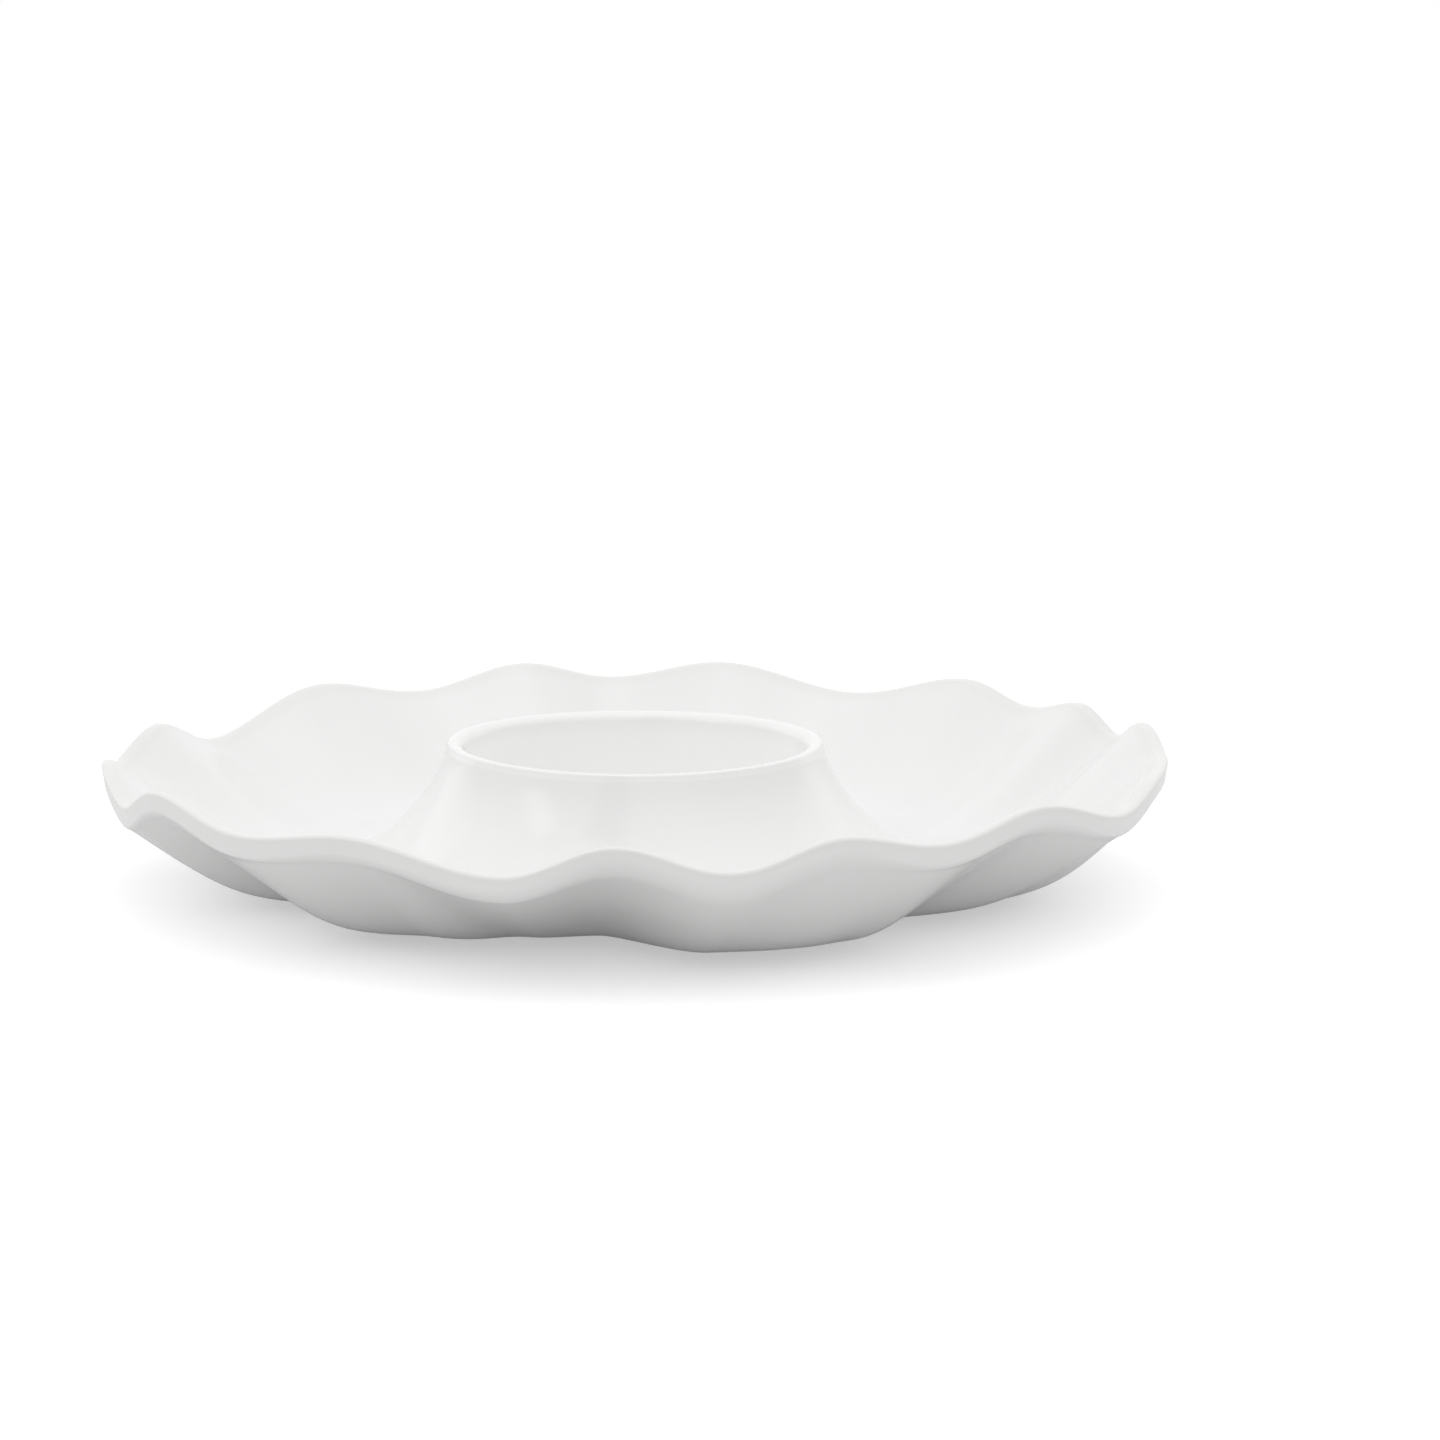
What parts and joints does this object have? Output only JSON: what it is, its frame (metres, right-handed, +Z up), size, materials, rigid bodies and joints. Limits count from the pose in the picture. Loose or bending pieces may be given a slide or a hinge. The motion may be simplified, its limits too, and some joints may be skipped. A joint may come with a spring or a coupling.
{
  "type": "chip and dip server",
  "caption": "Round white glazed platter with a hand-ruffled upturned rim, a ring-shaped trough for chips and a raised dip well that flares up from its middle.",
  "frame": {"origin": "on the table, below the middle of the platter", "axes": "+Z up out of the dip well; the table is the XY plane; -Y is the side that the picture shows as the front and +X is its right"},
  "size_m": [0.405, 0.4042, 0.0571],
  "materials": {
    "glaze": "clear gloss glaze over a white body",
    "biscuit": "bare fired clay, matt, ground flat where it stands"
  },
  "bodies": {
    "root": {"chip_dish": "glaze", "dip_cup": "glaze", "outer_foot_ring": "biscuit", "inner_foot_ring": "biscuit"}
  },
  "joints": []
}
